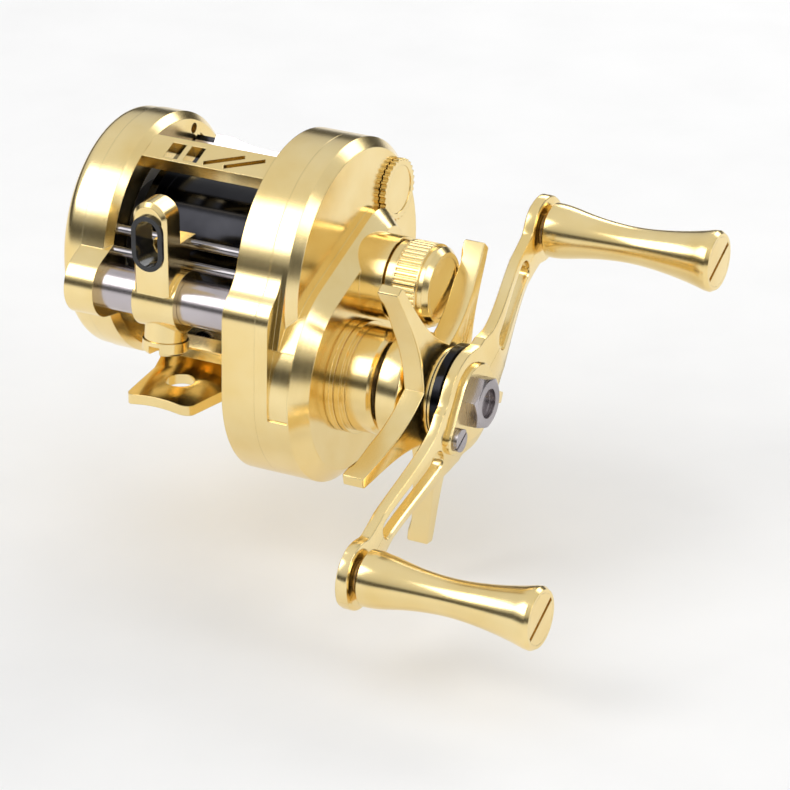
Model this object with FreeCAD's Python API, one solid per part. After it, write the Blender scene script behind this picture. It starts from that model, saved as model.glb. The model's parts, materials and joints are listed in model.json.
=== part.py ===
import FreeCAD, Part
import math
import os

# Baitcasting reel. Millimetres. The spool turns about X, the handle is on +X,
# the line guide is at the front (-Y) and the rod seat is below.
# Shapes are built about the spool axis and moved at the end, so that the
# origin is the middle of the foot's underside.

os.makedirs("parts", exist_ok=True)
V = FreeCAD.Vector
xDir = V(1, 0, 0)
yDir = V(0, 1, 0)
zDir = V(0, 0, 1)

# ---- axes, as (y, z) about the spool axis ----
spoolAxis = (0.0, 0.0)
gearModule = 0.4
driveTeeth = 80
pinionTeeth = 13
driveDistance = gearModule * (driveTeeth + pinionTeeth) / 2
driveAngle = 240.7
driveAxis = (driveDistance * math.cos(math.radians(driveAngle)),
             driveDistance * math.sin(math.radians(driveAngle)))
wormAxis = (-22.6, -2.1)
upperRodAxis = (-18.6, 7.4)
lowerRodAxis = (-20.4, 3.9)

# ---- side rings and housing ----
palmOuter = -19.5
palmInner = -13.5
gearInner = 13.6
wallThick = 1.8
seamX = 20.2
faceX = 25.5
plateauX = 29.8
palmRadius = 22.6
palmBore = 16.6
drumRadius = 24.3
lobeRadius = 20.3
wormLobeRadius = 6.3
hollowRadius = 9.0
hollowAngle = 170.4
shellThick = 2.2
coverX = -24.2

# ---- foot ----
footX = -3.5
footY = 5.0
footTop = -19.4
footEndTop = -21.8
footThick = 1.9
footLength = 58.0
footKnee = 9.0
footLevel = 15.0
footTipWidth = 13.2
footMidWidth = 19.0
footHoleRadius = 2.75
footHoleReach = 20.3
plateThick = 2.4
rivetRadius = 1.1
rivetSpots = [(-4.3, -5.3), (-4.3, 10.3)]

# ---- spool ----
flangeX = 12.4
flangeRadius = 15.6
arborRadius = 12.6
shaftRadius = 1.5
runGap = 0.05

# ---- line guide ----
tubeRadius = 4.2
guideX = -1.2
guideWidth = 7.0
guideFront = -28.6
guideTop = 18.1
eyeZ = 10.6

# ---- crank ----
driveShaftRadius = 2.5
handleReach = 41.0
handleAngle = 28.2
bladeFront = 53.3
bladeThick = 2.2
bladeDrop = 2.8
starRadius = 28.5
starAngle = 49.2
starFront = 46.1
starBack = 43.3

pieces = {}


def axisPoint(x, centre):
    return V(x, centre[0], centre[1])


def cylinder(radius, x0, x1, centre=spoolAxis):
    return Part.makeCylinder(radius, x1 - x0, axisPoint(x0, centre), xDir)


def ring(outer, inner, x0, x1, centre=spoolAxis):
    return cylinder(outer, x0, x1, centre).cut(cylinder(inner, x0 - 1, x1 + 1, centre))


def cone(r0, r1, x0, x1, centre=spoolAxis):
    return Part.makeCone(r0, r1, x1 - x0, axisPoint(x0, centre), xDir)


def box(x0, x1, y0, y1, z0, z1):
    return Part.makeBox(x1 - x0, y1 - y0, z1 - z0, V(x0, y0, z0))


def polar(radius, angle, centre=spoolAxis):
    a = math.radians(angle)
    return (centre[0] + radius * math.cos(a), centre[1] + radius * math.sin(a))


def prism(points, x0, x1):
    # Polygon of (y, z) points extruded along X.
    loop = [axisPoint(x0, p) for p in points]
    face = Part.Face(Part.makePolygon(loop + [loop[0]]))
    return face.extrude(V(x1 - x0, 0, 0))


def belt(c1, r1, c2, r2, x0, x1):
    # Outline that wraps two circles, extruded along X.
    distance = math.hypot(c2[0] - c1[0], c2[1] - c1[1])
    base = math.degrees(math.atan2(c2[1] - c1[1], c2[0] - c1[0]))
    lean = math.degrees(math.acos((r1 - r2) / distance))
    a = polar(r1, base + lean, c1)
    b = polar(r1, base + 180, c1)
    c = polar(r1, base - lean, c1)
    d = polar(r2, base - lean, c2)
    e = polar(r2, base, c2)
    f = polar(r2, base + lean, c2)
    p = [axisPoint(x0, q) for q in (a, b, c, d, e, f)]
    edges = [Part.Arc(p[0], p[1], p[2]).toShape(), Part.makeLine(p[2], p[3]),
             Part.Arc(p[3], p[4], p[5]).toShape(), Part.makeLine(p[5], p[0])]
    return Part.Face(Part.Wire(edges)).extrude(V(x1 - x0, 0, 0))


def outlineEdges(solid, x):
    # Edges of the solid that lie in the plane at x.
    return [e for e in solid.Edges
            if abs(e.BoundBox.XMin - x) < 1e-4 and abs(e.BoundBox.XMax - x) < 1e-4]


def fuse(shapes):
    return shapes[0].multiFuse(shapes[1:]).removeSplitter()


def cutAll(shape, tools):
    return shape.cut(tools)


def turned(shape, angle, centre):
    copy = shape.copy()
    copy.rotate(axisPoint(0, centre), xDir, angle)
    return copy


def caseOutline(x0, x1):
    # Drum, drive lobe and worm lobe in one outline, with a soft hollow between drum and worm lobe.
    drum = belt(spoolAxis, drumRadius, driveAxis, lobeRadius, x0, x1)
    case = fuse([drum, belt(wormAxis, wormLobeRadius, driveAxis, lobeRadius, x0, x1)])
    corner = axisPoint((x0 + x1) / 2, polar(drumRadius, hollowAngle))
    hollow = [e for e in case.Edges if e.CenterOfMass.distanceToPoint(corner) < 0.5]
    return case.makeFillet(hollowRadius, hollow)


def local(u0, u1, r0, r1, x0, x1, angle):
    # Box placed on the spool's radius at angle: u runs along the tangent, r outward.
    piece = box(x0, x1, r0, r1, u0, u1)
    return turned(piece, angle, spoolAxis)


def gear(teeth, x0, x1, centre, phase, module=gearModule, tall=0.8):
    # Spur gear whose first tooth is centred on the angle phase.
    pitch = module * teeth / 2
    tip = pitch + tall * module
    root = pitch - 1.0 * module
    baseCircle = pitch * math.cos(math.radians(20))
    backlash = 0.10
    halfTooth = (math.pi * module / 2 - backlash) / 2 / pitch
    rollPitch = math.tan(math.radians(20)) - math.radians(20)
    flank = []
    for step in range(5):
        r = max(root, baseCircle) + (tip - max(root, baseCircle)) * step / 4
        press = math.acos(min(1.0, baseCircle / r))
        flank.append((r, halfTooth + rollPitch - (math.tan(press) - press)))
    if root < baseCircle:
        flank.insert(0, (root, flank[0][1]))
    points = []
    for i in range(teeth):
        mid = math.radians(phase) + 2 * math.pi * i / teeth
        for r, half in flank:
            points.append((centre[0] + r * math.cos(mid - half), centre[1] + r * math.sin(mid - half)))
        for r, half in reversed(flank):
            points.append((centre[0] + r * math.cos(mid + half), centre[1] + r * math.sin(mid + half)))
    return prism(points, x0, x1)


def hexagon(across, x0, x1, centre, angle=0.0):
    points = [polar(across / 2 / math.cos(math.radians(30)), angle + 60 * i, centre) for i in range(6)]
    return prism(points, x0, x1)


def coil(radius, wire, x0, x1, turns, centre):
    # Helical spring along X.
    helix = Part.makeHelix((x1 - x0) / turns, x1 - x0, radius)
    profile = Part.Wire(Part.makeCircle(wire, V(radius, 0, 0), yDir))
    spring = Part.Wire(helix).makePipeShell([profile], True, True)
    spring.rotate(V(0, 0, 0), yDir, 90)
    spring.translate(axisPoint(x0, centre))
    return Part.Solid(spring) if spring.ShapeType != "Solid" else spring


def screw(headRadius, headHeight, shankRadius, x0, length, centre, outward):
    # Slotted screw on X: its head starts at x0 and rises outward (+1 or -1).
    low, high = sorted((x0, x0 + outward * headHeight))
    head = cylinder(headRadius, low, high, centre)
    slotLow, slotHigh = sorted((x0 + outward * headHeight * 0.45, x0 + outward * headHeight * 1.5))
    slot = box(slotLow, slotHigh, centre[0] - headRadius - 1, centre[0] + headRadius + 1,
               centre[1] - 0.2, centre[1] + 0.2)
    low, high = sorted((x0, x0 - outward * length))
    return head.cut(slot).fuse(cylinder(shankRadius, low, high, centre))


# ================= frame =================
sideScrewAngles = (15, 80, 312)
sideScrewReach = 20.0
coverScrewAngles = (64.6, 204.6, 304.6)
coverScrewReach = 19.7
thumbAngle = 50.0

palmRing = cylinder(palmRadius, palmOuter, palmInner)
palmRing = palmRing.makeChamfer(1.3, outlineEdges(palmRing, palmInner))
palmBoss = belt(wormAxis, 5.9, (-12.0, -1.0), 9.0, palmOuter, palmInner)
gearRing = caseOutline(gearInner, seamX)
gearBoss = belt(wormAxis, wormLobeRadius, (-12.0, -3.0), 8.0, gearInner, seamX)
barAngle = 112.0
topBar = local(-3.6, 2.4, 18.4, 21.2, palmInner - 0.5, gearInner + 0.5, barAngle)
bottomPlate = box(palmInner - 0.5, gearInner + 0.5, -10.4, 12.4, footTop, footTop + plateThick)
frontFloor = local(-1.3, 1.3, 18.0, 20.4, palmInner - 0.5, gearInner + 0.5, 236)
rearPost = local(-2.6, 2.6, 18.0, 21.6, palmInner - 0.5, gearInner + 0.5, 335)
frame = fuse([palmRing, palmBoss, gearRing, gearBoss, topBar, bottomPlate, frontFloor, rearPost])

cavityX = gearInner + wallThick
gearCavity = belt(spoolAxis, drumRadius - shellThick, driveAxis, lobeRadius - shellThick,
                  cavityX, seamX + 1)
cogCavity = cylinder(5.2, cavityX, seamX - 1.3, wormAxis)
frame = cutAll(frame, [gearCavity, cogCavity, cylinder(palmBore, palmOuter - 1, palmInner + 1)])

# bosses that stand in the gear cavity
idlerTeeth = 17
wormDriveTeeth = 28
cogTeeth = 18
trainModule = 0.5
driveToIdler = trainModule * (wormDriveTeeth + idlerTeeth) / 2
idlerToWorm = trainModule * (idlerTeeth + cogTeeth) / 2
gapY = wormAxis[0] - driveAxis[0]
gapZ = wormAxis[1] - driveAxis[1]
driveToWorm = math.hypot(gapY, gapZ)
along = (driveToIdler ** 2 - idlerToWorm ** 2 + driveToWorm ** 2) / (2 * driveToWorm)
aside = math.sqrt(driveToIdler ** 2 - along ** 2)
idlerAxis = (driveAxis[0] + (gapY * along + gapZ * aside) / driveToWorm,
             driveAxis[1] + (gapZ * along - gapY * aside) / driveToWorm)
yokeAcross = driveAngle + 90
yokeReach = 8.5
postAxes = [polar(yokeReach, yokeAcross), polar(-yokeReach, yokeAcross)]

bosses = [cylinder(5.4, cavityX - 0.5, 17.0)]
bosses += [cylinder(4.6, gearInner, cavityX + 0.2, driveAxis)]
bosses += [cylinder(1.2, cavityX - 0.5, 17.6, idlerAxis)]
bosses += [cylinder(1.9, cavityX - 0.5, seamX, polar(sideScrewReach, a)) for a in sideScrewAngles]
bosses += [cylinder(0.9, cavityX - 0.5, faceX - 1.8, c) for c in postAxes]
frame = fuse([frame] + bosses)

holes = [cylinder(4.0, gearInner + 0.8, 18.0), cylinder(2.4, gearInner - 1, 16.0)]
holes += [cylinder(3.5, gearInner + 0.4, cavityX + 1, driveAxis)]
holes += [cylinder(0.9, gearInner - 1, seamX + 1, polar(sideScrewReach, a)) for a in sideScrewAngles]
holes += [cylinder(1.8, gearInner - 1, gearInner + 0.9, polar(sideScrewReach, a)) for a in sideScrewAngles]
holes += [cylinder(1.0, palmOuter - 1, palmInner + 1, polar(coverScrewReach, a)) for a in coverScrewAngles]
for axis in (upperRodAxis, lowerRodAxis):
    holes.append(cylinder(0.9, palmInner - 3, palmInner + 1, axis))
    holes.append(cylinder(0.9, gearInner - 1, gearInner + 1.2, axis))
holes.append(cylinder(tubeRadius, palmInner - 4.5, palmInner + 1, wormAxis))
holes.append(cylinder(tubeRadius, gearInner - 1, cavityX + 0.1, wormAxis))
holes.append(local(-4.7, 2.1, 16.9, 19.3, gearInner - 1, cavityX + 0.1, thumbAngle))
holes.append(local(-4.7, 2.1, 15.6, 19.3, palmInner - 2, palmInner + 1, thumbAngle))
for x0 in (-9.4, -5.4):
    holes.append(local(-2.3, 1.7, 17, 22, x0, x0 + 2.9, barAngle))
for x0 in (2.4, 6.6):
    slant = local(-0.85, 0.15, 17, 22, -3.85, 3.85, barAngle)
    slant.rotate(V(0, 0, 0), V(0, *polar(1.0, barAngle)), 26)
    slant.translate(V(x0, 0, 0))
    holes.append(slant)
for x, y in rivetSpots:
    holes.append(Part.makeCylinder(rivetRadius, 4, V(x, y, footTop - 0.5), zDir))
frame = cutAll(frame, holes)
pieces["frame"] = frame

# ================= foot =================
footArch = 27.0
archHalfAngle = 22.0


def footSection(y, top):
    # Arched cross-section of the foot in the plane at y, crown at height top.
    a = math.radians(archHalfAngle)
    centre = V(footX, y, top - footArch - footThick)
    rim = []
    for radius in (footArch + footThick, footArch):
        rim.append([centre + V(radius * math.sin(t), 0, radius * math.cos(t)) for t in (-a, 0, a)])
    outer, inner = rim
    edges = [Part.Arc(*outer).toShape(), Part.makeLine(outer[2], inner[2]),
             Part.Arc(*inner).toShape(), Part.makeLine(inner[0], outer[0])]
    return Part.Face(Part.Wire(edges))


half = footLength / 2
stations = [(-half, footEndTop), (-footLevel, footEndTop), (-footKnee, footTop),
            (footKnee, footTop), (footLevel, footEndTop), (half, footEndTop)]
runs = []
for (y0, z0), (y1, z1) in zip(stations, stations[1:]):
    runs.append(footSection(footY + y0, z0).extrude(V(0, y1 - y0, z1 - z0)))
foot = fuse(runs)
outline = [(-footTipWidth / 2, -half), (footTipWidth / 2, -half), (footMidWidth / 2, -footKnee),
           (footMidWidth / 2, footKnee), (footTipWidth / 2, half), (-footTipWidth / 2, half),
           (-footMidWidth / 2, footKnee), (-footMidWidth / 2, -footKnee)]
loop = [V(footX + x, footY + y, footTop - 14) for x, y in outline]
plan = Part.Face(Part.makePolygon(loop + [loop[0]])).extrude(V(0, 0, 16))
upright = [e for e in plan.Edges if abs(e.BoundBox.ZLength - 16) < 1e-6]
foot = foot.common(plan.makeFillet(2.4, upright))
footHoles = []
for side in (-1, 1):
    start = V(footX, footY + side * footHoleReach, footEndTop - 6)
    footHoles.append(Part.makeCylinder(footHoleRadius, 10, start, zDir))
for x, y in rivetSpots:
    footHoles.append(Part.makeCylinder(rivetRadius, 6, V(x, y, footTop - 4), zDir))
pieces["reel_foot"] = cutAll(foot, footHoles)

rivets = []
plateTop = footTop + plateThick
for x, y in rivetSpots:
    stemLength = plateThick + footThick
    stem = Part.makeCylinder(rivetRadius, stemLength, V(x, y, plateTop - stemLength), zDir)
    dome = Part.makeSphere(2.4, V(x, y, plateTop - 1.5))
    cap = dome.common(Part.makeCylinder(3, 3, V(x, y, plateTop), zDir))
    rivets.append(stem.fuse(cap).removeSplitter())
pieces["foot_rivets"] = Part.makeCompound(rivets)

# ================= palm side =================
cover = cylinder(palmRadius - 0.2, coverX, palmOuter)
cover = cover.makeFillet(2.4, outlineEdges(cover, coverX))
cover = cover.cut(cylinder(palmBore + 0.2, coverX + 1.8, palmOuter + 1))
cover = fuse([cover, cylinder(5.6, coverX + 1.0, -17.2), ring(15.4, 14.0, coverX + 1.0, -17.6)])
coverHoles = [cylinder(4.0, -20.4, -17), cylinder(9.05, coverX - 1, coverX + 0.9)]
for a in coverScrewAngles:
    spot = polar(coverScrewReach, a)
    coverHoles.append(cylinder(1.0, coverX - 1, palmOuter + 1, spot))
    coverHoles.append(cylinder(1.9, coverX - 1, coverX + 1.3, spot))
coverHoles += [cylinder(1.6, -21.0, -20)]
pieces["palm_side_cover"] = cutAll(cover, coverHoles)
pieces["palm_cover_screws"] = Part.makeCompound(
    [screw(1.7, 0.9, 1.0, coverX + 1.3, 7.5, polar(coverScrewReach, a), -1) for a in coverScrewAngles])

dial = cylinder(9.0, coverX - 1.6, coverX + 0.8)
dial = dial.makeFillet(0.6, outlineEdges(dial, coverX - 1.6))
dialCuts = [box(coverX - 2, coverX - 0.9, -7, 7, -0.9, 0.9)]
dialCuts += [cylinder(0.7, coverX - 2, coverX - 0.2, polar(9.2, 15 * i)) for i in range(24)]
pieces["brake_dial"] = cutAll(dial, dialCuts)

pieces["brake_magnet_holder"] = fuse([ring(14.0, 5.6, -19.3, -18.3), ring(7.0, 5.6, -18.4, -12.6)])
pieces["brake_magnet_ring"] = ring(9.4, 7.0, -18.2, -12.8)

# ================= spool =================
spoolBody = cylinder(arborRadius, -flangeX, flangeX)
flangeLip = [ring(flangeRadius, arborRadius - 1, -flangeX, -flangeX + 1.5),
             ring(flangeRadius, arborRadius - 1, flangeX - 1.5, flangeX)]
spoolBody = fuse([spoolBody] + flangeLip)
spoolHollows = [cylinder(arborRadius - 1.0, -flangeX - 1, -1.5), cylinder(arborRadius - 1.0, 1.5, flangeX + 1)]
spoolBody = cutAll(spoolBody, spoolHollows + [cylinder(shaftRadius, -20, 20)])
spoolHub = ring(3.4, shaftRadius, -8.0, 9.0)
spoolBody = fuse([spoolBody, spoolHub])
pieces["spool"] = spoolBody
pieces["brake_rotor"] = fuse([ring(10.6, 10.0, -14.4, -4.6), ring(10.2, 3.4, -5.4, -4.6)])
spoolShaft = cylinder(shaftRadius, -20.2, 39.2)
spoolShaft = spoolShaft.makeChamfer(0.3, outlineEdges(spoolShaft, -20.2) + outlineEdges(spoolShaft, 39.2))
pinX = 17.9
crossPin = Part.makeCylinder(0.45, 5.6, V(pinX, 0, -2.8), zDir)
crossPin.rotate(V(pinX, 0, 0), xDir, driveAngle)
pieces["spool_shaft"] = spoolShaft.cut(crossPin)
pieces["spool_pin"] = crossPin
bearingStarts = (-20.4, 14.4, 36.2)
pieces["spool_bearings"] = Part.makeCompound(
    [ring(4.0, shaftRadius + runGap, x, x + 2.6) for x in bearingStarts])

# ================= pinion, yoke and clutch =================
pinionStart = 17.3
grooveStart = 18.7
teethStart = 20.2
teethEnd = 24.2
pinionRing = gear(pinionTeeth, teethStart, teethEnd, spoolAxis, driveAngle + 180)
pinion = fuse([cylinder(3.4, pinionStart, grooveStart), cylinder(2.1, grooveStart, teethStart),
               pinionRing, cylinder(2.1, teethEnd, 30.6)])
slotBox = box(pinionStart - 1, pinX + 0.55, -0.6, 0.6, -4, 4)
slotBox.rotate(V(0, 0, 0), xDir, driveAngle)
pieces["pinion_gear"] = cutAll(pinion, [cylinder(shaftRadius + runGap, 16, 32), slotBox])
pieces["pinion_bearing"] = ring(4.5, 2.1 + runGap, 26.4, 28.9)

yokeX = 19.3
yokeThick = 0.8
yoke = box(yokeX, yokeX + yokeThick, -5.4, 0.2, -10.6, 10.6)
yoke = fuse([yoke, box(yokeX, yokeX + yokeThick, -7.4, -5.0, -1.2, 1.2)])
yoke.rotate(V(0, 0, 0), xDir, driveAngle)
yokeCuts = [cylinder(2.1 + runGap, yokeX - 1, yokeX + 2)]
throat = box(yokeX - 1, yokeX + 2, 0, 3, -2.15, 2.15)
throat.rotate(V(0, 0, 0), xDir, driveAngle)
yokeCuts.append(throat)
yokeCuts += [cylinder(0.9 + runGap, yokeX - 1, yokeX + 2, c) for c in postAxes]
pieces["pinion_yoke"] = cutAll(yoke, yokeCuts)
pieces["yoke_springs"] = Part.makeCompound([coil(1.5, 0.2, yokeX + 1.1, 23.6, 3, c) for c in postAxes])

thumbTop = 19.2
saddleLow = 18.0
saddleRadius = 28.0
padTop = 18.4
padLow = 17.4
thumb = local(-3.7, 3.7, 16.8, thumbTop, palmInner + 0.35, gearInner - 0.35, thumbAngle)
saddle = Part.makeCylinder(saddleRadius, 30, V(2.5, -15, saddleLow + saddleRadius), yDir)
saddle.rotate(V(0, 0, 0), xDir, thumbAngle - 90)
padStep = local(-5.0, 5.0, padTop, 24, palmInner, palmInner + 4.2, thumbAngle)
thumb = cutAll(thumb, [saddle, padStep])
lugs = [local(-1.4, 1.8, 17.1, padTop, palmInner - 1.7, palmInner + 1, thumbAngle),
        local(-1.4, 1.8, 17.1, padTop, gearInner - 1, 17.75, thumbAngle)]
thumb = fuse([thumb] + lugs)
endPad = local(-5.0, 5.0, padLow, 24, palmInner + 0.3, palmInner + 4.2, thumbAngle)
pad = thumb.common(endPad)
pieces["thumb_bar_pad"] = pad
pieces["thumb_bar"] = thumb.cut(endPad)

# The cam's ramp climbs shiftRatio for each unit of thumb travel and lifts the yoke's tab.
camX = 17.75
camThick = 0.8
shiftRatio = 0.6
rampFoot = 2.5
rampReach = 3.2
rampLow = yokeX - 0.1
foot0 = rampFoot - (rampLow - camX - camThick) / shiftRatio
rampTop = rampLow + shiftRatio * rampReach
rampLine = [(camX, -1.4), (camX, rampFoot + rampReach), (rampTop, rampFoot + rampReach),
            (camX + camThick, foot0), (camX + camThick, -1.4)]
loop = [V(x, 5.2, u) for x, u in rampLine]
ramp = Part.Face(Part.makePolygon(loop + [loop[0]])).extrude(V(0, 1.9, 0))
arm = box(camX, camX + camThick, 5.2, 19.1, -1.4, 1.8)
pieces["clutch_cam"] = turned(fuse([ramp, arm]), thumbAngle, spoolAxis)

# ================= drive train =================
toPinion = driveAngle - 180
driveGear = gear(driveTeeth, 20.6, 23.4, driveAxis, toPinion)
gearHollows = [cylinder(12.4, 21.3, 24, driveAxis), cylinder(driveShaftRadius, 20, 24, driveAxis)]
lightHoles = [cylinder(2.2, 20, 22, polar(8.2, 60 * i, driveAxis)) for i in range(6)]
pieces["drive_gear"] = cutAll(driveGear, gearHollows + lightHoles)
pieces["drag_washer"] = ring(12.2, driveShaftRadius, 21.3, 22.1, driveAxis)
keyWasher = ring(12.2, driveShaftRadius, 22.1, 22.9, driveAxis)
keyHoles = [cylinder(1.2, 22, 23, polar(9.5, 45 * i, driveAxis)) for i in range(8)]
pieces["key_washer"] = cutAll(keyWasher, keyHoles)
pieces["pressure_plate"] = fuse([ring(10.6, driveShaftRadius, 22.9, 23.7, driveAxis),
                                 ring(5.2, driveShaftRadius, 23.6, 24.6, driveAxis)])

shaft = cylinder(driveShaftRadius, 14.1, 54.6, driveAxis)
shaft = fuse([shaft, cylinder(5.6, 17.4, 19.9, driveAxis), cylinder(3.6, 19.8, 20.6, driveAxis)])
pieces["drive_shaft"] = shaft
pieces["drive_shaft_bushing"] = ring(3.5, driveShaftRadius + runGap, 14.0, 15.6, driveAxis)


def phaseToMesh(centreA, phaseA, teethA, centreB, teethB):
    # Phase of gear B so that it meshes with gear A.
    theta = math.atan2(centreB[1] - centreA[1], centreB[0] - centreA[0])
    shareA = (theta - math.radians(phaseA)) * teethA / (2 * math.pi)
    return math.degrees(theta + math.pi - (0.5 - shareA) * 2 * math.pi / teethB)


idlerPhase = phaseToMesh(driveAxis, 0.0, wormDriveTeeth, idlerAxis, idlerTeeth)
cogPhase = phaseToMesh(idlerAxis, idlerPhase, idlerTeeth, wormAxis, cogTeeth)
trainX = (15.9, 17.3)
levelGear = gear(wormDriveTeeth, trainX[0], trainX[1], driveAxis, 0.0, trainModule)
pieces["levelwind_gear"] = levelGear.cut(cylinder(driveShaftRadius, 15, 18, driveAxis))
idler = gear(idlerTeeth, trainX[0], trainX[1], idlerAxis, idlerPhase, trainModule)
pieces["idler_gear"] = idler.cut(cylinder(1.2 + runGap, 15, 18, idlerAxis))
cog = gear(cogTeeth, trainX[0], trainX[1], wormAxis, cogPhase, trainModule)
pieces["worm_cog"] = cog.cut(cylinder(1.5, 15, 18, wormAxis))

# ================= level wind =================
tube = ring(tubeRadius, 3.4, palmInner - 4.5, gearInner + 1.8, wormAxis)
pawlAngle = 262.0
tubeSlot = box(-11.5, 11.5, 0, 6, -1.45, 1.45)
tubeSlot.rotate(V(0, 0, 0), xDir, pawlAngle)
tubeSlot.translate(axisPoint(0, wormAxis))
pieces["guide_tube"] = tube.cut(tubeSlot)

worm = fuse([cylinder(2.9, -12.8, 12.8, wormAxis), cylinder(1.5, palmInner - 3.9, 18.4, wormAxis)])
groovePitch = 4.0
grooveTurns = 5
grooveLine = [(2.2, -0.5), (3.3, -0.5), (3.3, 0.5), (2.2, 0.5), (2.2, -0.5)]
for leftHand in (False, True):
    path = Part.makeHelix(groovePitch, groovePitch * grooveTurns, 2.6, 0, leftHand)
    profile = Part.makePolygon([V(r, 0, z) for r, z in grooveLine])
    groove = Part.Wire(path).makePipeShell([profile], True, True)
    groove.rotate(V(0, 0, 0), yDir, 90)
    groove.translate(axisPoint(-groovePitch * grooveTurns / 2, wormAxis))
    if groove.Volume < 0:
        groove.reverse()
    worm = worm.cut(groove)
pieces["worm_shaft"] = worm
bushingStarts = (palmInner - 4.3, 13.0)
pieces["worm_bushings"] = Part.makeCompound(
    [ring(3.4, 1.5 + runGap, x, x + 2.2, wormAxis) for x in bushingStarts])
pieces["worm_clip"] = ring(2.6, 1.5, 17.4, 17.9, wormAxis)

pieces["guide_rods"] = Part.makeCompound(
    [cylinder(0.9, palmInner - 2.8, gearInner + 1.1, axis) for axis in (upperRodAxis, lowerRodAxis)])

gx0 = guideX - guideWidth / 2
gx1 = guideX + guideWidth / 2
archRadius = guideWidth / 2
blockBack = -23.6
blockLow = 0.5
archZ = guideTop - archRadius
post = box(gx0, gx1, guideFront, blockBack, blockLow, archZ)
arch = Part.makeCylinder(archRadius, blockBack - guideFront, V(guideX, guideFront, archZ), yDir)
block = fuse([post, arch])
frontRim = [e for e in block.Edges if abs(e.BoundBox.YMin - guideFront) < 1e-4
            and abs(e.BoundBox.YMax - guideFront) < 1e-4 and e.BoundBox.ZMax > archZ - 0.5]
block = block.makeChamfer(0.7, frontRim)
rodCarrier = fuse([box(gx0 + 0.8, gx1 - 0.8, -24.2, -16.9, 5.9, 8.7),
                   box(gx0 + 0.8, gx1 - 0.8, -24.2, -18.9, 2.4, 6.2)])
collar = cylinder(5.6, guideX - 4.3, guideX + 4.3, wormAxis)
pawlBody = Part.makeCylinder(3.9, 7.6, V(0, 0, 0), yDir)
pawlBody.rotate(V(0, 0, 0), xDir, pawlAngle)
pawlBody.translate(V(guideX, wormAxis[0], wormAxis[1]))
lineGuide = fuse([block, rodCarrier, collar, pawlBody])


def stadium(width, height, y0, y1):
    # Upright slot shape through Y, centred on the eye.
    flat = height / 2 - width / 2
    lower = Part.makeCylinder(width / 2, y1 - y0, V(guideX, y0, eyeZ - flat), yDir)
    upper = Part.makeCylinder(width / 2, y1 - y0, V(guideX, y0, eyeZ + flat), yDir)
    middle = box(guideX - width / 2, guideX + width / 2, y0, y1, eyeZ - flat, eyeZ + flat)
    return fuse([lower, upper, middle])


eyeCut = stadium(5.6, 9.8, guideFront - 2, blockBack + 1)
pawlBore = Part.makeCylinder(1.6, 12, V(0, 0, 0), yDir)
pawlBore.rotate(V(0, 0, 0), xDir, pawlAngle)
pawlBore.translate(V(guideX, wormAxis[0], wormAxis[1]))
guideCuts = [eyeCut, cylinder(tubeRadius + 0.06, -12, 12, wormAxis), pawlBore]
guideCuts += [cylinder(0.95, -12, 12, axis) for axis in (upperRodAxis, lowerRodAxis)]
pieces["line_guide"] = cutAll(lineGuide, guideCuts)
insert = fuse([stadium(5.6, 9.8, guideFront, blockBack), stadium(6.3, 10.5, guideFront - 0.7, guideFront)])
insert = insert.cut(stadium(4.5, 8.7, guideFront - 3, blockBack + 2))
pieces["line_guide_insert"] = insert


def onPawl(shape):
    shape.rotate(V(0, 0, 0), xDir, pawlAngle)
    shape.translate(V(guideX, wormAxis[0], wormAxis[1]))
    return shape


pawl = Part.makeCylinder(1.1, 3.9, V(0, 3.7, 0), yDir).fuse(Part.makeCylinder(1.6, 1.9, V(0, 5.2, 0), yDir))
blade = box(-0.3, 0.3, 3.2, 3.8, -0.9, 0.9)
pieces["pawl"] = onPawl(fuse([pawl, blade]))
pawlCap = Part.makeCylinder(4.2, 2.4, V(0, 7.6, 0), yDir)
capRim = [e for e in pawlCap.Edges if e.BoundBox.YMin > 9.9]
pawlCap = pawlCap.makeChamfer(0.5, capRim)
pawlCap = pawlCap.cut(box(-1.1, 1.1, 8.4, 11, -5, 5))
pieces["pawl_cap"] = onPawl(pawlCap)

# ================= gear side cover =================
drumDisc = cylinder(drumRadius, seamX, faceX)
drumDisc = drumDisc.makeChamfer(1.7, outlineEdges(drumDisc, faceX))
plateauEnd = (4.5, 3.0)
plateau = belt(plateauEnd, 7.4, driveAxis, lobeRadius, faceX - 2.0, plateauX)
plateau = plateau.makeChamfer(2.8, outlineEdges(plateau, plateauX))
bridge = belt(spoolAxis, drumRadius, driveAxis, lobeRadius, seamX, faceX - 1.7)
shoulderX = 22.8
shoulder = caseOutline(seamX, shoulderX)
driveBoss = fuse([cylinder(10.4, plateauX - 2, 31.9, driveAxis), cylinder(9.7, 31.0, 37.6, driveAxis)])
driveBoss = cutAll(driveBoss, [ring(11.5, 10.0, 30.6, 30.9, driveAxis), ring(11.5, 9.4, 32.6, 32.9, driveAxis)])
gearCover = fuse([bridge, shoulder, drumDisc, plateau, cylinder(7.8, faceX, 34.2), driveBoss])
gearCover = gearCover.makeChamfer(0.7, outlineEdges(gearCover, 37.6))
neckRadius = 6.0
gearCover = fuse([gearCover, cylinder(neckRadius, 34.0, 39.0)])
innerDrum = belt(spoolAxis, drumRadius - shellThick - 0.3, driveAxis, lobeRadius - shellThick,
                 seamX - 1, faceX - 1.7)
innerPlateau = belt(plateauEnd, 2.6, driveAxis, 13.6, faceX - 1.8, 27.3)
gearCover = cutAll(gearCover, [innerDrum, innerPlateau])
coverPosts = [cylinder(1.9, seamX, faceX - 1.5, polar(sideScrewReach, a)) for a in sideScrewAngles]
spoolTower = cylinder(5.8, faceX - 0.9, 29.0)
gearCover = fuse([gearCover] + coverPosts + [spoolTower])
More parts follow.
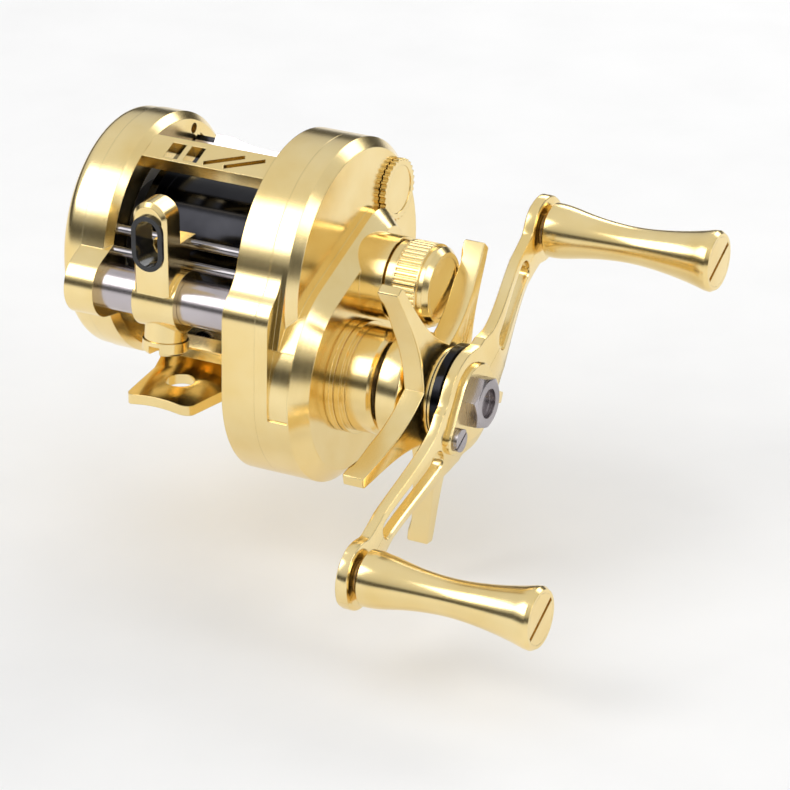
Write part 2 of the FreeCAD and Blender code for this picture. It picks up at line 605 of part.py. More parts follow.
coverCuts = [cylinder(4.5, 24, 28.9), cylinder(2.9, 28, 33.4), cylinder(2.2, 33, 36), cylinder(4.0, 36.0, 40)]
coverCuts += [cylinder(7.0, 28.0, 36.4, driveAxis), cylinder(5.4, 24, 28, driveAxis),
              cylinder(4.4, 36, 38, driveAxis)]
coverCuts += [cylinder(0.9, seamX - 1, faceX - 2.5, polar(sideScrewReach, a)) for a in sideScrewAngles]
dialAxis = (13.6, 11.2)
dialRadius = 5.8
coverCuts += [cylinder(1.5, seamX, faceX + 0.5, dialAxis), cylinder(dialRadius + 0.4, faceX, plateauX + 1, dialAxis)]
relief = ring(lobeRadius + 8, lobeRadius - 0.4, shoulderX, 26.8, driveAxis)
reliefArc = prism([driveAxis, polar(60, 150, driveAxis), polar(60, 187, driveAxis)], 20, 28)
coverCuts.append(relief.common(reliefArc))
gearCover = cutAll(gearCover, coverCuts)
pieces["gear_side_cover"] = gearCover

pieces["side_cover_screws"] = Part.makeCompound(
    [screw(1.7, 0.8, 0.9, gearInner + 0.9, 8.0, polar(sideScrewReach, a), -1) for a in sideScrewAngles])

sideDial = fuse([cylinder(dialRadius, faceX + 0.15, faceX + 1.3, dialAxis),
                 cylinder(1.45, faceX - 1.5, faceX + 0.3, dialAxis)])
notches = [cylinder(0.42, faceX, faceX + 2, polar(dialRadius + 0.05, 12 * i, dialAxis)) for i in range(30)]
pieces["side_dial"] = cutAll(sideDial, notches + [cylinder(dialRadius - 1.3, faceX + 1.15, faceX + 2, dialAxis)])

pieces["roller_clutch"] = ring(7.0, 3.9 + runGap, 28.0, 32.8, driveAxis)
pieces["drive_shaft_bearing"] = ring(7.0, 3.9 + runGap, 33.0, 36.4, driveAxis)
pieces["clutch_sleeve"] = ring(3.9, driveShaftRadius, 24.6, 38.3, driveAxis)

knobStart = 34.5
knobEnd = 42.9
castKnob = fuse([cylinder(7.3, knobStart, 36.0), cylinder(7.7, 36.0, 41.0), cylinder(7.3, 41.0, knobEnd)])
castKnob = castKnob.makeChamfer(0.9, outlineEdges(castKnob, knobEnd))
knurls = [cylinder(0.3, 36.3, 40.7, polar(7.75, 7.5 * i)) for i in range(48)]
knobCuts = [cylinder(neckRadius + 0.06, knobStart - 1, 39.3), cylinder(5.6, knobEnd - 0.15, knobEnd + 1)]
pieces["cast_control_knob"] = cutAll(castKnob, knobCuts + knurls)

# ================= star drag =================
hubRadius = 10.4
starHub = fuse([cylinder(hubRadius, 39.1, starBack + 0.5, driveAxis),
                cylinder(hubRadius - 1.6, starBack, starFront, driveAxis)])
armSide = [(4.6, 0), (4.6, 6), (3.3, 13), (2.7, 20), (2.9, starRadius)]
armOutline = [(-y, z) for y, z in armSide] + armSide[::-1]
arms = []
for i in range(5):
    arm = prism(armOutline, starBack, starFront)
    tipPad = box(starBack - 1.3, starBack + 0.2, -2.9, 2.9, 27.0, starRadius)
    arm = fuse([arm, tipPad])
    arm.rotate(V(0, 0, 0), xDir, starAngle + 72 * i - 90)
    arm.translate(axisPoint(0, driveAxis))
    arms.append(arm)
star = fuse([starHub] + arms)
webs = []
for i in range(5):
    valley = starAngle + 36 + 72 * i
    corners = [(12.4, valley - 22), (9.6, valley), (12.4, valley + 22), (4.0, valley)]
    webs.append(prism([polar(r, a, driveAxis) for r, a in corners], starBack, starFront))
star = fuse([star] + webs)
starCuts = [cylinder(driveShaftRadius + runGap, 38, 50, driveAxis), cylinder(7.2, 38, 40.2, driveAxis),
            hexagon(9.0, 40.0, 42.2, driveAxis)]
pieces["star_drag"] = cutAll(star, starCuts)
pieces["star_collar"] = ring(11.2, driveShaftRadius + runGap, starFront, 49.3, driveAxis)
pieces["drag_springs"] = Part.makeCompound([ring(6.2, driveShaftRadius, 38.5, 39.1, driveAxis),
                                            ring(6.2, driveShaftRadius, 39.3, 39.9, driveAxis)])
dragNut = hexagon(9.0, 40.3, 42.2, driveAxis)
pieces["drag_nut"] = dragNut.cut(cylinder(driveShaftRadius + runGap, 39, 44, driveAxis))
pieces["handle_washer"] = ring(9.7, driveShaftRadius, 49.6, bladeFront - bladeThick, driveAxis)

# ================= handle =================


def handlePlace(shape):
    shape.rotate(V(0, 0, 0), xDir, handleAngle)
    shape.translate(axisPoint(0, driveAxis))
    return shape


flatEnd = 12.0
bendEnd = 30.0
profileTop = [(-50, bladeFront - bladeDrop), (-bendEnd, bladeFront - bladeDrop), (-flatEnd, bladeFront),
              (flatEnd, bladeFront), (bendEnd, bladeFront - bladeDrop), (50, bladeFront - bladeDrop)]
loop = [V(x, s, -12) for s, x in profileTop] + [V(x - bladeThick, s, -12) for s, x in profileTop[::-1]]
sheet = Part.Face(Part.makePolygon(loop + [loop[0]])).extrude(V(0, 0, 24))
hub = cylinder(9.3, 40, 60)
ends = [cylinder(6.2, 40, 60, (side * handleReach, 0)) for side in (-1, 1)]
armShapes = []
for side in (-1, 1):
    waist = [(5.0, 7.6), (15.0, 4.4), (27.0, 3.3), (handleReach, 6.0)]
    outline = [(side * s, -t) for s, t in waist] + [(side * s, t) for s, t in waist[::-1]]
    armShapes.append(prism(outline, 40, 60))
planform = fuse([hub] + ends + armShapes)
bladeBody = sheet.common(planform)
bladeCuts = [cylinder(driveShaftRadius, 45, 60)]
retainerScrew = (-9.0, 0.0)
for side in (-1, 1):
    bladeCuts.append(cylinder(1.9, 45, 60, (side * handleReach, 0)))
    bladeCuts.append(cylinder(0.9, 45, 60, (side * 9.0, 0)))
    slotEnds = sorted((side * 15.2, side * 30.6))
    slotShape = fuse([cylinder(1.35, 45, 60, (end, 0)) for end in slotEnds]
                     + [box(45, 60, slotEnds[0], slotEnds[1], -1.35, 1.35)])
    bladeCuts.append(slotShape)
pieces["handle_blade"] = handlePlace(cutAll(bladeBody, bladeCuts))

retainer = belt(spoolAxis, 7.0, retainerScrew, 2.9, bladeFront, bladeFront + 1.1)
retainer = retainer.makeChamfer(0.3, outlineEdges(retainer, bladeFront + 1.1))
nutAcross = 8.8
retainerCuts = [hexagon(nutAcross, 50, 60, spoolAxis, 12), cylinder(0.9, 50, 60, retainerScrew)]
pieces["nut_retainer"] = handlePlace(cutAll(retainer, retainerCuts))
nut = hexagon(nutAcross, bladeFront, 56.6, spoolAxis, 12)
nutShape = nut.common(fuse([cylinder(5.2, bladeFront, 56.0), cone(5.2, 4.2, 56.0, 56.6)]))
nutShape = cutAll(nutShape, [cylinder(driveShaftRadius, 50, 54.6), cylinder(2.7, 55.4, 58)])
pieces["handle_nut"] = handlePlace(nutShape)
pieces["retainer_screw"] = handlePlace(screw(2.1, 0.9, 0.9, bladeFront + 1.1, 2.6, retainerScrew, 1))

knobIn = 51.4
knobOut = 84.6
gripCurve = [(0.4, 5.1), (3.0, 4.95), (6.6, 4.3), (12.4, 3.55), (16.0, 3.4), (19.6, 3.55),
             (24.0, 4.05), (28.0, 4.75), (31.6, 5.6)]
knobProfile = [(knobIn, 4.7)] + [(knobIn + x, r) for x, r in gripCurve]
knobProfile += [(knobOut - 0.7, 5.65), (knobOut, 5.2)]
spindles = []
for name, side in (("upper", 1), ("lower", -1)):
    centre = (side * handleReach, 0)
    spline = Part.BSplineCurve()
    spline.interpolate([V(x, r, 0) for x, r in knobProfile[1:10]])
    edges = [Part.makeLine(V(knobIn, 0, 0), V(knobIn, knobProfile[0][1], 0)),
             Part.makeLine(V(knobIn, knobProfile[0][1], 0), V(*knobProfile[1], 0)), spline.toShape(),
             Part.makeLine(V(*knobProfile[9], 0), V(*knobProfile[10], 0)),
             Part.makeLine(V(*knobProfile[10], 0), V(*knobProfile[11], 0)),
             Part.makeLine(V(*knobProfile[11], 0), V(knobOut, 0, 0)),
             Part.makeLine(V(knobOut, 0, 0), V(knobIn, 0, 0))]
    body = Part.Face(Part.Wire(edges)).revolve(V(0, 0, 0), xDir, 360)
    body.translate(axisPoint(0, centre))
    knobBores = [cylinder(1.9 + runGap, 50, 82, centre), cylinder(4.6, 82.6, 86, centre),
                 cylinder(3.2, 81.0, 83, centre)]
    pieces[name + "_knob"] = handlePlace(body.cut(knobBores))
    spindle = fuse([cylinder(1.9, bladeFront - bladeDrop - bladeThick, 81.3, centre),
                    cylinder(3.0, bladeFront - bladeDrop, knobIn - 0.2, centre),
                    cylinder(2.9, 81.3, 82.3, centre)])
    spindles.append(handlePlace(spindle))
    cap = cylinder(4.6, 82.6, knobOut, centre)
    cap = cap.cut(box(knobOut - 0.8, knobOut + 1, centre[0] - 6, centre[0] + 6, -0.45, 0.45))
    pieces[name + "_knob_cap"] = handlePlace(cap)

pieces["knob_spindles"] = Part.makeCompound(spindles)

# ================= write =================
origin = V(-footX, -footY, footThick - footEndTop)
for name, shape in pieces.items():
    placed = shape.copy()
    placed.translate(origin)
    placed.exportStep("parts/" + name + ".step")
    kinds = [s.isValid() for s in placed.Solids]
    print(name, len(placed.Solids), all(kinds), round(placed.Volume, 1))
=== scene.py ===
import json
import math

import bmesh
import bpy
import numpy as np
from mathutils import Matrix, Vector


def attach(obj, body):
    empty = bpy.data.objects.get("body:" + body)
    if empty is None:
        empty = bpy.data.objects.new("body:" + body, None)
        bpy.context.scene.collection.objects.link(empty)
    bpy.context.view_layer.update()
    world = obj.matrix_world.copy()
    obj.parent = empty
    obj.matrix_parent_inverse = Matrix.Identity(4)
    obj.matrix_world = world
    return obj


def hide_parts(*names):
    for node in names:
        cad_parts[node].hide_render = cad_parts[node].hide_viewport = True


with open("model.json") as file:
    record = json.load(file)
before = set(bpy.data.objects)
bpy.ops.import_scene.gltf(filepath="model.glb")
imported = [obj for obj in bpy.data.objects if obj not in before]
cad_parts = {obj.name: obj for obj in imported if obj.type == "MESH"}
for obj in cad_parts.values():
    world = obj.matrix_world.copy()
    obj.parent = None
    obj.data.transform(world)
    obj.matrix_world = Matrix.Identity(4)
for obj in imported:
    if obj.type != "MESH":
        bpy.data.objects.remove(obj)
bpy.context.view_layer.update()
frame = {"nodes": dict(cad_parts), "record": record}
nodes = frame["nodes"]
print("frame loaded", len(nodes), "nodes")

mm = 0.001
# The spool axis, in mm from the foot's centre.
footToSpool = np.array([3.5, -5.0, 23.7])


# Sizes of the patterns, in 1/m, and heights in m.
turning = {"cloud": 90.0, "marks": (9000, 260, 260), "height": 0.00005}
moulding = {"cloud": 160.0, "grain": 2600.0, "height": 0.00004}
edgeSoftness = {"radius": 0.0002, "samples": 4}
dressing = {"weld": 2e-6, "crease": 28}


def newFinish(name):
    material = bpy.data.materials.new(name)
    material.use_nodes = True
    tree = material.node_tree
    shader = tree.nodes["Principled BSDF"]
    coords = tree.nodes.new("ShaderNodeTexCoord")
    return material, tree, shader, coords


def stretched(tree, coords, scale):
    mapping = tree.nodes.new("ShaderNodeMapping")
    mapping.inputs["Scale"].default_value = scale
    tree.links.new(coords.outputs["Object"], mapping.inputs["Vector"])
    return mapping.outputs["Vector"]


def noiseOn(tree, vector, scale, detail=3.0):
    noise = tree.nodes.new("ShaderNodeTexNoise")
    noise.inputs["Scale"].default_value = scale
    noise.inputs["Detail"].default_value = detail
    tree.links.new(vector, noise.inputs["Vector"])
    return noise.outputs["Fac"]


def ramp(tree, factor, low, high, start=0.3, stop=0.7):
    node = tree.nodes.new("ShaderNodeValToRGB")
    node.color_ramp.elements[0].position = start
    node.color_ramp.elements[1].position = stop
    node.color_ramp.elements[0].color = (*low, 1)
    node.color_ramp.elements[1].color = (*high, 1)
    tree.links.new(factor, node.inputs["Fac"])
    return node.outputs["Color"]


def mapRange(tree, factor, low, high):
    node = tree.nodes.new("ShaderNodeMapRange")
    node.inputs["To Min"].default_value = low
    node.inputs["To Max"].default_value = high
    tree.links.new(factor, node.inputs["Value"])
    return node.outputs["Result"]


def bumpOf(tree, height, strength, distance):
    node = tree.nodes.new("ShaderNodeBump")
    node.inputs["Strength"].default_value = strength
    node.inputs["Distance"].default_value = distance
    tree.links.new(height, node.inputs["Height"])
    edge = tree.nodes.new("ShaderNodeBevel")
    edge.samples = edgeSoftness["samples"]
    edge.inputs["Radius"].default_value = edgeSoftness["radius"]
    tree.links.new(edge.outputs["Normal"], node.inputs["Normal"])
    return node.outputs["Normal"]


metalLooks = {
    "gold": {"light": (0.96, 0.78, 0.41), "dark": (0.90, 0.68, 0.29),
             "rough": (0.13, 0.24), "bump": 0.05},
    "silver": {"light": (0.62, 0.57, 0.585), "dark": (0.50, 0.455, 0.47),
               "rough": (0.16, 0.30), "bump": 0.05},
    "dark_steel": {"light": (0.34, 0.32, 0.33), "dark": (0.20, 0.19, 0.20),
                   "rough": (0.12, 0.24), "bump": 0.04},
    "steel": {"light": (0.52, 0.48, 0.49), "dark": (0.34, 0.31, 0.32),
              "rough": (0.18, 0.36), "bump": 0.06},
    "brass": {"light": (0.85, 0.66, 0.30), "dark": (0.70, 0.50, 0.20),
              "rough": (0.20, 0.36), "bump": 0.06},
    "alloy": {"light": (0.82, 0.82, 0.83), "dark": (0.66, 0.66, 0.68),
              "rough": (0.22, 0.38), "bump": 0.06},
    "magnet": {"light": (0.22, 0.22, 0.23), "dark": (0.12, 0.12, 0.13),
               "rough": (0.35, 0.5), "bump": 0.08},
    "black_gloss": {"light": (0.030, 0.030, 0.034), "dark": (0.012, 0.012, 0.014),
                    "rough": (0.10, 0.22), "bump": 0.03},
}


def turnedMetal(name, look):
    # Fine turning marks run round X; broad cloudy noise changes tone and gloss a little.
    material, tree, shader, coords = newFinish(name)
    cloud = noiseOn(tree, stretched(tree, coords, (1, 1, 1)), turning["cloud"])
    marks = noiseOn(tree, stretched(tree, coords, turning["marks"]), 1.0, 2.0)
    tree.links.new(ramp(tree, cloud, look["dark"], look["light"]), shader.inputs["Base Color"])
    tree.links.new(mapRange(tree, marks, *look["rough"]), shader.inputs["Roughness"])
    tree.links.new(bumpOf(tree, marks, look["bump"], turning["height"]), shader.inputs["Normal"])
    shader.inputs["Metallic"].default_value = 1.0
    return material


plasticLooks = {
    "black_ceramic": {"light": (0.03, 0.03, 0.032), "dark": (0.012, 0.012, 0.013),
                      "rough": (0.06, 0.14), "bump": 0.02},
    "nylon": {"light": (0.84, 0.82, 0.76), "dark": (0.74, 0.71, 0.63),
              "rough": (0.42, 0.55), "bump": 0.06},
    "drag_fibre": {"light": (0.10, 0.10, 0.11), "dark": (0.03, 0.03, 0.035),
                   "rough": (0.5, 0.65), "bump": 0.2},
}


def mouldedPlastic(name, look):
    # Broad cloudy noise changes the tone; fine grain changes gloss and height.
    material, tree, shader, coords = newFinish(name)
    cloud = noiseOn(tree, stretched(tree, coords, (1, 1, 1)), moulding["cloud"])
    grain = noiseOn(tree, stretched(tree, coords, (1, 1, 1)), moulding["grain"], 2.0)
    tree.links.new(ramp(tree, cloud, look["dark"], look["light"]), shader.inputs["Base Color"])
    tree.links.new(mapRange(tree, grain, *look["rough"]), shader.inputs["Roughness"])
    tree.links.new(bumpOf(tree, grain, look["bump"], moulding["height"]), shader.inputs["Normal"])
    return material


finishes = {name: turnedMetal(name, look) for name, look in metalLooks.items()}
finishes.update({name: mouldedPlastic(name, look) for name, look in plasticLooks.items()})
slotOf = {part["node"]: part["material_slot"] for part in frame["record"]["subparts"]}


def dressCadNode(node):
    mesh = node.data
    mesh.materials.clear()
    mesh.materials.append(finishes[slotOf[node.name]])
    mesh.polygons.foreach_set("use_smooth", [True] * len(mesh.polygons))
    weld = node.modifiers.new("weld", "WELD")
    weld.merge_threshold = dressing["weld"]
    split = node.modifiers.new("creases", "EDGE_SPLIT")
    split.split_angle = math.radians(dressing["crease"])


for node in nodes.values():
    dressCadNode(node)
print("finishes on CAD nodes")


def fromSpool(points):
    # Moves points given in mm about the spool axis into the frame, in metres.
    return (np.asarray(points, float) + footToSpool) * mm


def gridFaces(rows, columns, rowsClosed, columnsClosed):
    # Quads between neighbouring rows and columns of a grid numbered row by row.
    r = np.arange(rows if rowsClosed else rows - 1)
    c = np.arange(columns if columnsClosed else columns - 1)
    rr, cc = np.meshgrid(r, c, indexing="ij")
    r2 = (rr + 1) % rows
    c2 = (cc + 1) % columns
    corners = [rr * columns + cc, rr * columns + c2, r2 * columns + c2, r2 * columns + cc]
    return np.stack(corners, -1).reshape(-1, 4)


def buildSurface(name, grids, finish, body, replaced, crease=30):
    # Each grid is (points[rows, columns, 3], rowsClosed, columnsClosed); all go into one mesh.
    points, faces, count = [], [], 0
    for grid, rowsClosed, columnsClosed in grids:
        rows, columns = grid.shape[:2]
        points.append(grid.reshape(-1, 3))
        faces.append(gridFaces(rows, columns, rowsClosed, columnsClosed) + count)
        count += rows * columns
    mesh = bpy.data.meshes.new(name)
    mesh.from_pydata(fromSpool(np.concatenate(points)).tolist(), [], np.concatenate(faces).tolist())
    work = bmesh.new()
    work.from_mesh(mesh)
    bmesh.ops.remove_doubles(work, verts=work.verts, dist=1e-6)
    bmesh.ops.dissolve_degenerate(work, edges=work.edges, dist=1e-7)
    bmesh.ops.recalc_face_normals(work, faces=work.faces)
    work.to_mesh(mesh)
    work.free()
    mesh.materials.append(finishes[finish])
    mesh.polygons.foreach_set("use_smooth", [True] * len(mesh.polygons))
    piece = bpy.data.objects.new(name, mesh)
    bpy.context.scene.collection.objects.link(piece)
    split = piece.modifiers.new("creases", "EDGE_SPLIT")
    split.split_angle = math.radians(crease)
    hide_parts(*replaced)
    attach(piece, body)
    return piece


def turnedGrid(profile, centre, count=96):
    # Surface of revolution about X: each (x, radius) of the profile swept round the centre (y, z).
    profile = np.asarray(profile, float)
    angle = np.linspace(0, 2 * np.pi, count, endpoint=False)
    x = np.repeat(profile[:, 0][:, None], count, 1)
    y = centre[0] + profile[:, 1][:, None] * np.cos(angle)
    z = centre[1] + profile[:, 1][:, None] * np.sin(angle)
    return np.stack([x, y, z], -1)


def softCorners(profile, radius=0.3, steps=4):
    # Each inner corner of the profile becomes a quadratic curve that starts and ends a radius away.
    p = np.asarray(profile, float)
    out = [p[0]]
    for before, corner, after in zip(p[:-2], p[1:-1], p[2:]):
        d1 = before - corner
        d2 = after - corner
        l1, l2 = np.hypot(*d1), np.hypot(*d2)
        reach = min(radius, l1 * 0.45, l2 * 0.45)
        a = corner + d1 / l1 * reach
        b = corner + d2 / l2 * reach
        t = np.linspace(0, 1, steps)[:, None]
        out.extend((1 - t) ** 2 * a + 2 * t * (1 - t) * corner + t ** 2 * b)
    out.append(p[-1])
    return np.array(out)


# Crank axis in mm from the spool axis, and the handle's lean.
crankReach = 18.6
crankAngle = math.radians(240.7)
driveAxis = (crankReach * math.cos(crankAngle), crankReach * math.sin(crankAngle))
handleTurn = math.radians(28.2)

# Lengths in mm, angles in degrees; "first" is the angle of the first arm.
star = {
    "arms": 5, "first": 48.2, "columns": 97, "crowding": 1.6,
    "front": 48.2, "depth": 4.1, "dip": 1.8, "bevel": 0.3, "bore": 2.56,
    "tip": 28.9, "tipHalf": 1.05, "tipPower": 26.0, "valley": 9.5, "spread": 5.0,
    "clear": 43.1, "clearReach": 26.6,
    "shares": (0.0, 0.25, 0.5, 0.65, 0.75, 0.85, 0.92, 0.97),
    "hub": [(43.6, 7.0), (39.1, 7.2), (39.1, 10.4), (43.2, 10.4), (43.9, 9.0), (43.6, 7.0)],
    "hubSoft": 0.35,
}
collar = {
    "profile": [(47.6, 2.56), (47.6, 8.8), (48.5, 8.8), (48.6, 8.5), (49.3, 8.5), (49.3, 2.56),
                (47.6, 2.56)],
    "soft": 0.2,
}


def starOutline(angle):
    # Radius at an angle from an arm's middle line: w(r) = r sin(angle) solved for r, where w is the
    # arm's half-width, joined softly to the tip circle by a power mean.
    # w(r) = tipHalf + root exp(-(r - valley) / spread), so neighbouring arms meet at the valley.
    r = np.linspace(star["valley"], 200, 6000)
    root = star["valley"] * math.sin(math.pi / star["arms"]) - star["tipHalf"]
    halfWidth = star["tipHalf"] + root * np.exp(-(r - star["valley"]) / star["spread"])
    opening = np.arcsin(np.clip(halfWidth / r, 0, 1))
    side = np.interp(np.abs(angle), opening[::-1], r[::-1])
    p = star["tipPower"]
    return (side ** -p + star["tip"] ** -p) ** (-1 / p)


def starFront(r):
    # The front sinks evenly from the valleys to the tips.
    along = (r - star["valley"]) / (star["tip"] - star["valley"])
    return star["front"] - star["dip"] * np.clip(along, 0, 1)


def starBack(r):
    # The back lies one depth behind the front, but stays clear of the small knob until past it.
    back = starFront(r) - star["depth"]
    return np.where(r < star["clearReach"], np.maximum(back, star["clear"]), back)


def buildStar():
    # Polar plate: front, rounded rim, back; each ring is the outline drawn in by an inset.
    arm = np.radians(360 / star["arms"])
    u = np.linspace(-1, 1, star["columns"])[:-1]
    local = np.sign(u) * np.abs(u) ** star["crowding"] * arm / 2
    first = np.radians(star["first"])
    angle = np.concatenate([first + local + arm * i for i in range(star["arms"])])
    outline = np.tile(starOutline(local), star["arms"])
    b = star["bevel"]
    curve = np.linspace(0, np.pi / 2, 5)
    rings = []
    inner = star["bore"]
    for share in star["shares"]:
        r = inner + (outline - b - inner) * share
        rings.append((r, starFront(r)))
    for a in curve:
        rings.append((outline - b + b * np.sin(a), starFront(outline) - b + b * np.cos(a)))
    for a in curve[::-1]:
        rings.append((outline - b + b * np.sin(a), starBack(outline) + b - b * np.cos(a)))
    for share in star["shares"][::-1]:
        r = inner + (outline - b - inner) * share
        rings.append((r, starBack(r)))
    r = np.stack([ring[0] for ring in rings])
    x = np.stack([ring[1] for ring in rings])
    y = driveAxis[0] + r * np.cos(angle)
    z = driveAxis[1] + r * np.sin(angle)
    plate = np.stack([x, y, z], -1)
    hub = turnedGrid(softCorners(star["hub"], star["hubSoft"]), driveAxis)
    buildSurface("starWheel", [(plate, True, True), (hub, True, True)], "gold", "star", ["star_drag"])
    ring = turnedGrid(softCorners(collar["profile"], collar["soft"]), driveAxis)
    buildSurface("starCollar", [(ring, True, True)], "gold", "star", ["star_collar"])


# Lengths in mm; lengths along the arm are counted from the crank axis.
blade = {
    "front": 53.3, "thick": 2.2, "reach": 41.0, "hub": 9.3, "end": 6.2,
    "waist": 3.55, "flare": 3.0, "flareFrom": 9.0, "flareLength": 6.0,
    "swell": 0.00045, "swellFrom": 26, "power": 9,
    "slotHalf": 1.8, "slotIn": 12.6, "slotOut": 32.2,
    "drop": 2.8, "dropFrom": 12.0, "dropLength": 18.0, "straight": 0.7,
    "bevel": 0.5, "bevelShare": 0.4, "slotBevel": 0.3, "crease": 34,
    "rows": 190, "fan": 14,
}


def halfRound(radius, distance, least=0):
    # Half-width of a circle at a distance from its centre.
    return np.sqrt(np.clip(radius ** 2 - distance ** 2, least, None))


def bladeHalfWidth(s):
    # The larger of hub circle, end circle and waisted arm, joined softly by a power mean. The arm is
    # waist + flare exp(-(a - flareFrom) / flareLength) + swell (a - swellFrom)^3, with a = |s|.
    a = np.abs(s)
    hub = halfRound(blade["hub"], a, 1e-6)
    end = halfRound(blade["end"], a - blade["reach"], 1e-6)
    flare = blade["flare"] * np.exp(-np.clip(a - blade["flareFrom"], 0, None) / blade["flareLength"])
    swell = blade["swell"] * np.clip(a - blade["swellFrom"], 0, None) ** 3
    arm = np.where(a < blade["reach"], blade["waist"] + flare + swell, 1e-3)
    p = blade["power"]
    return (hub ** p + end ** p + arm ** p) ** (1 / p)


def bladeSlotHalf(s):
    # Half-width of a slot with round ends: the root of slotHalf^2 less the square of the way past
    # the centre of either end.
    a = np.abs(s)
    r = blade["slotHalf"]
    outward = np.clip(a - (blade["slotOut"] - r), 0, None)
    inward = np.clip((blade["slotIn"] + r) - a, 0, None)
    return halfRound(r, outward + inward)


def bladeStations():
    # Places along the blade, closer together at its ends and at the ends of the slots.
    tip = blade["reach"] + blade["end"]
    fan = np.linspace(0, np.pi / 2, blade["fan"])
    slotFan = blade["slotHalf"] * (1 - np.cos(fan))
    s = np.unique(np.concatenate([
        np.linspace(0, blade["reach"], blade["rows"]),
        blade["reach"] + blade["end"] * np.sin(fan),
        blade["slotIn"] + slotFan,
        blade["slotOut"] - slotFan,
    ]))
    s = np.concatenate([-s[::-1], s[1:]])
    return np.clip(s, -tip + 1e-4, tip - 1e-4)


def bladeFront(s):
    # The front drops from hub to ends: straight t + (1 - straight) (3 t^2 - 2 t^3), t the share done.
    t = np.clip((np.abs(s) - blade["dropFrom"]) / blade["dropLength"], 0, 1)
    soft = (1 - blade["straight"]) * t * t * (3 - 2 * t)
    return blade["front"] - blade["drop"] * (blade["straight"] * t + soft)


def buildBlade():
    # Two long rails, one each side of the middle line; their inner edges part at the slots.
    s = bladeStations()
    outer = bladeHalfWidth(s)
    pastReach = np.abs(s) - blade["reach"]
    outer = np.where(pastReach > 0, halfRound(blade["end"], pastReach), outer)
    inner = bladeSlotHalf(s)
    front = bladeFront(s)
    back = front - blade["thick"]
    b = np.minimum(blade["bevel"], outer * blade["bevelShare"])
    c = np.minimum(blade["slotBevel"], inner * 0.5)
    section = [
        (inner + c, front),
        (outer - b, front),
        (outer - 0.3 * b, front - 0.3 * b),
        (outer, front - b),
        (outer, back + 0.6 * b),
        (outer - 0.6 * b, back),
        (inner + c, back),
        (inner, back + c),
        (inner, front - c),
    ]
    across = np.stack([place[0] for place in section])
    x = np.stack([place[1] for place in section])
    cosH, sinH = math.cos(handleTurn), math.sin(handleTurn)
    grids = []
    for side in (1, -1):
        y = driveAxis[0] + s * cosH - side * across * sinH
        z = driveAxis[1] + s * sinH + side * across * cosH
        rail = np.stack([x, y, z], -1)
        rows = rail.shape[0]
        capA = np.repeat(rail[:, 0].mean(0)[None, None], rows, 0)
        capB = np.repeat(rail[:, -1].mean(0)[None, None], rows, 0)
        grids.append((np.concatenate([capA, rail, capB], 1), True, False))
    buildSurface("handleArm", grids, "gold", "crank", ["handle_blade"], blade["crease"])


buildStar()
buildBlade()
print("star wheel and handle arm")


# The sky's grey by height: 0 straight down, 0.5 at the horizon, 1 overhead.
studio = {
    "floorZ": -0.030,
    "floorSize": 6.0,
    "worldStrength": 1.0,
    "skyLow": 0.2,
    "skyHigh": 0.8,
    "skyStops": ((0.50, 0.20), (0.54, 0.06), (0.61, 0.05), (0.67, 0.55), (0.80, 0.70)),
    "paperDark": (0.93, 0.93, 0.93),
    "paperLight": (0.96, 0.96, 0.96),
    "panels": {
        "keyPanel": {"place": (-0.45, -0.50, 0.60), "aim": (0.0, 0.0, 0.0),
                     "size": (0.5, 0.5), "power": 2.4},
        "sidePanel": {"place": (0.80, -0.10, 0.30), "aim": (0.02, 0.0, 0.0),
                      "size": (0.25, 0.6), "power": 1.4},
        "backPanel": {"place": (0.1, 0.75, 0.5), "aim": (0.0, 0.0, 0.0),
                      "size": (0.8, 0.3), "power": 2.0},
    },
}


def floorFinish():
    material, tree, shader, coords = newFinish("floorPaper")
    grain = noiseOn(tree, stretched(tree, coords, (1, 1, 1)), 40.0)
    tone = ramp(tree, grain, studio["paperDark"], studio["paperLight"])
    tree.links.new(tone, shader.inputs["Base Color"])
    shader.inputs["Roughness"].default_value = 0.9
    return material


def buildFloor():
    half = studio["floorSize"] / 2
    z = studio["floorZ"]
    mesh = bpy.data.meshes.new("floor")
    corners = [(-half, -half, z), (half, -half, z), (half, half, z), (-half, half, z)]
    mesh.from_pydata(corners, [], [(0, 1, 2, 3)])
    mesh.materials.append(floorFinish())
    floor = bpy.data.objects.new("floor", mesh)
    bpy.context.scene.collection.objects.link(floor)


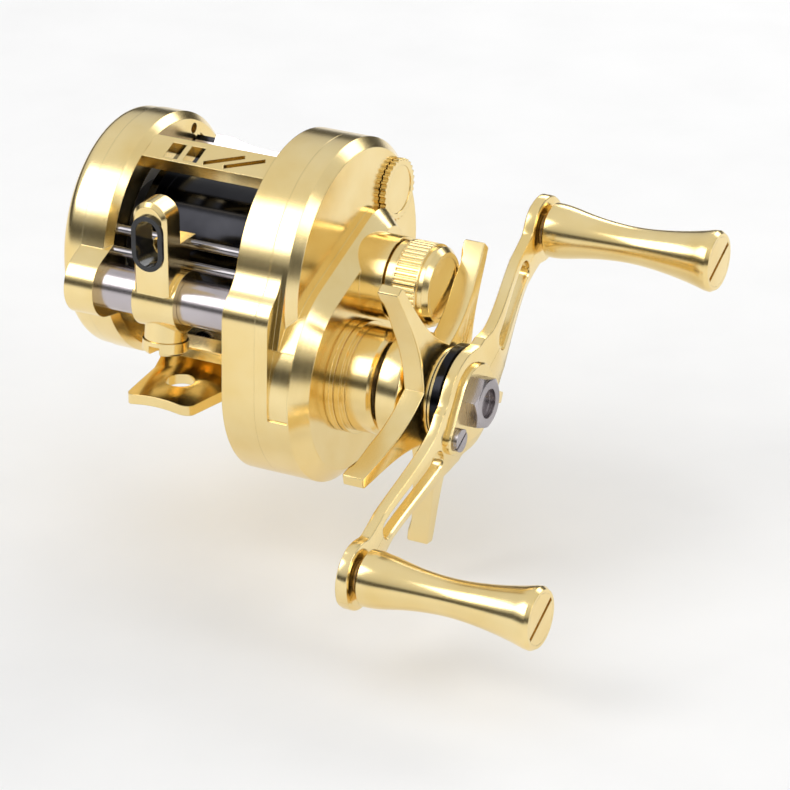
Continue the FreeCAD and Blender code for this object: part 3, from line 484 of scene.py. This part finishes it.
def buildWorld():
    world = bpy.data.worlds.new("studio")
    bpy.context.scene.world = world
    world.use_nodes = True
    tree = world.node_tree
    background = tree.nodes["Background"]
    coords = tree.nodes.new("ShaderNodeTexCoord")
    split = tree.nodes.new("ShaderNodeSeparateXYZ")
    tree.links.new(coords.outputs["Generated"], split.inputs["Vector"])
    shade = tree.nodes.new("ShaderNodeValToRGB")
    ends = (0.0, studio["skyLow"]), (1.0, studio["skyHigh"])
    for element, (position, value) in zip(shade.color_ramp.elements, ends):
        element.position = position
        element.color = (value, value, value, 1)
    for position, value in studio["skyStops"]:
        stop = shade.color_ramp.elements.new(position)
        stop.color = (value, value, value, 1)
    height = tree.nodes.new("ShaderNodeMapRange")
    height.inputs["From Min"].default_value = -1.0
    tree.links.new(split.outputs["Z"], height.inputs["Value"])
    tree.links.new(height.outputs["Result"], shade.inputs["Fac"])
    tree.links.new(shade.outputs["Color"], background.inputs["Color"])
    background.inputs["Strength"].default_value = studio["worldStrength"]


def addPanel(name, place, aim, size, power):
    light = bpy.data.lights.new(name, "AREA")
    light.shape = "RECTANGLE"
    light.size, light.size_y = size
    light.energy = power
    panel = bpy.data.objects.new(name, light)
    panel.location = place
    panel.rotation_euler = (Vector(aim) - Vector(place)).to_track_quat("-Z", "Y").to_euler()
    bpy.context.scene.collection.objects.link(panel)


cameraSet = {
    "lens": 175.36,
    "place": (0.3341, -0.5709, 0.2927),
    "right": (0.8850, 0.4655, 0.0),
    "up": (-0.1935, 0.3680, 0.9095),
    "back": (0.4233, -0.8050, 0.4156),
}


def buildCamera():
    data = bpy.data.cameras.new("camera")
    data.lens = cameraSet["lens"]
    data.sensor_width = 36.0
    data.clip_start = 0.01
    camera = bpy.data.objects.new("camera", data)
    turn = Matrix((cameraSet["right"], cameraSet["up"], cameraSet["back"])).transposed()
    camera.matrix_world = Matrix.Translation(cameraSet["place"]) @ turn.to_4x4()
    bpy.context.scene.collection.objects.link(camera)
    bpy.context.scene.camera = camera


buildFloor()
buildWorld()
for name, panel in studio["panels"].items():
    addPanel(name, **panel)
buildCamera()
bpy.context.scene.view_settings.view_transform = "Standard"
print("studio ready")
